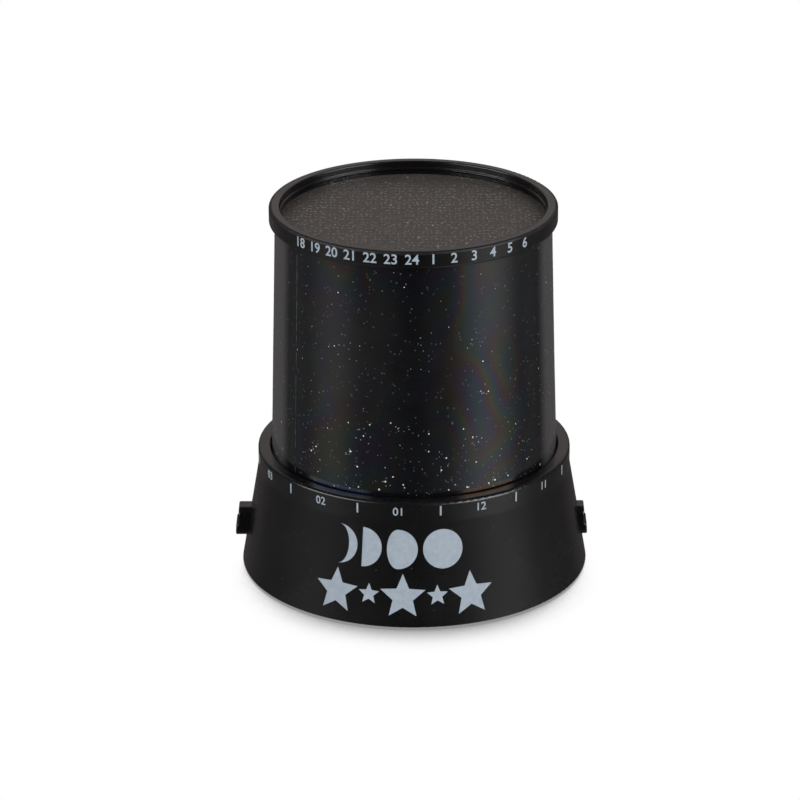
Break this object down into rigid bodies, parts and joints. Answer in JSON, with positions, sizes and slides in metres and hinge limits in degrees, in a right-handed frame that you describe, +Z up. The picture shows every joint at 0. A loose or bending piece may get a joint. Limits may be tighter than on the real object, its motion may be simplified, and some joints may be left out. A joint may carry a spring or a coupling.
{
  "type": "star projector",
  "caption": "Table-top star projector: cone-shaped base with push buttons and battery bay, lift-off turning drum of star film over LEDs.",
  "frame": {"origin": "on the table at the drum's axis: centre of the bounding box's underside", "axes": "+Z up along the drum's axis, front towards -Y, push buttons at -X and +X, power socket at +Y"},
  "size_m": [0.1173, 0.1148, 0.125],
  "materials": {
    "black_abs": "fine moulded satin, injection moulded ABS",
    "black_gloss_abs": "polished moulding",
    "black_nylon": "matt moulded nylon",
    "star_film": "glossy black-printed film with clear star dots",
    "disc_film": "satin black-printed film with clear star dots",
    "clear_tape": "clear adhesive tape",
    "rubber_black": "matt moulded rubber",
    "zinc_screw": "bright zinc plating",
    "nickel_plate": "nickel-plated spring steel",
    "tinned_brass": "tinned brass pin",
    "cell_jacket": "printed film jacket over a steel can",
    "circuit_board": "green solder mask over glass-epoxy laminate",
    "epoxy_black": "cast epoxy blob",
    "capacitor_sleeve": "shrunk sleeve over an aluminium can",
    "resistor_enamel": "dipped enamel",
    "white_nylon": "natural nylon",
    "led_warm_epoxy": "clear cast epoxy lens, warm white",
    "led_red_epoxy": "tinted cast epoxy lens, red",
    "led_green_epoxy": "tinted cast epoxy lens, green",
    "led_blue_epoxy": "tinted cast epoxy lens, blue",
    "lead_red": "extruded PVC insulation",
    "lead_black": "extruded PVC insulation",
    "lead_grey": "extruded PVC insulation"
  },
  "bodies": {
    "base": {"base_shell": "black_abs", "case_screws": "zinc_screw", "bottom_cover": "black_abs", "rubber_feet": "rubber_black", "battery_cell_1": "cell_jacket", "battery_cell_2": "cell_jacket", "battery_cell_3": "cell_jacket", "battery_contact_plates": "nickel_plate", "battery_contact_springs": "nickel_plate", "control_board": "circuit_board", "control_board_screws": "zinc_screw", "controller_chip": "epoxy_black", "control_board_capacitor": "capacitor_sleeve", "control_board_resistors": "resistor_enamel", "power_socket_body": "black_nylon", "power_socket_pin": "tinned_brass", "power_socket_tabs": "tinned_brass", "power_socket_leads": "lead_red", "light_deck": "black_abs", "light_deck_screws": "zinc_screw", "led_board": "circuit_board", "led_board_screws": "zinc_screw", "led_warm": "led_warm_epoxy", "led_red": "led_red_epoxy", "led_green": "led_green_epoxy", "led_blue": "led_blue_epoxy", "led_pins": "nickel_plate", "led_harness": "lead_grey", "battery_lead_negative": "lead_black", "battery_lead_positive": "lead_red", "left_switch_spring": "nickel_plate", "left_switch_body": "black_nylon", "left_switch_pins": "nickel_plate", "left_switch_board": "circuit_board", "left_switch_leads": "lead_grey", "right_switch_spring": "nickel_plate", "right_switch_body": "black_nylon", "right_switch_pins": "nickel_plate", "right_switch_board": "circuit_board", "right_switch_leads": "lead_grey"},
    "battery_door": {"battery_door": "black_abs"},
    "left_button": {"left_button_cap": "black_gloss_abs", "left_switch_plunger": "white_nylon"},
    "right_button": {"right_button_cap": "black_gloss_abs", "right_switch_plunger": "white_nylon"},
    "turntable": {"turning_ring": "black_nylon"},
    "star_drum": {"star_sleeve": "star_film", "sleeve_seam_strip": "clear_tape", "drum_foot_ring": "black_abs", "star_disc": "disc_film", "disc_clamp_ring": "black_abs", "bezel": "black_gloss_abs"}
  },
  "joints": [
    {"name": "drum_turn", "type": "hinge", "parent": "base", "child": "turntable", "pos_m": [0, 0, 0.0382], "axis": [0, 0, 1], "continuous": true},
    {"name": "drum_lift", "type": "slide", "parent": "turntable", "child": "star_drum", "axis": [0, 0, 1], "range_m": [0, 0.1]},
    {"name": "left_button_press", "type": "slide", "parent": "base", "child": "left_button", "axis": [1, 0, 0], "range_m": [0, 0.0024], "stiffness_N_per_m": 500, "springref_m": -0.001, "deforming": ["left_switch_spring"]},
    {"name": "right_button_press", "type": "slide", "parent": "base", "child": "right_button", "axis": [-1, 0, 0], "range_m": [-0.0019, 0.0005], "deforming": ["right_switch_spring"]},
    {"name": "battery_door_swing", "type": "hinge", "parent": "base", "child": "battery_door", "pos_m": [0, -0.03, 0.00265], "axis": [-1, 0, 0], "range_deg": [0, 90]}
  ]
}
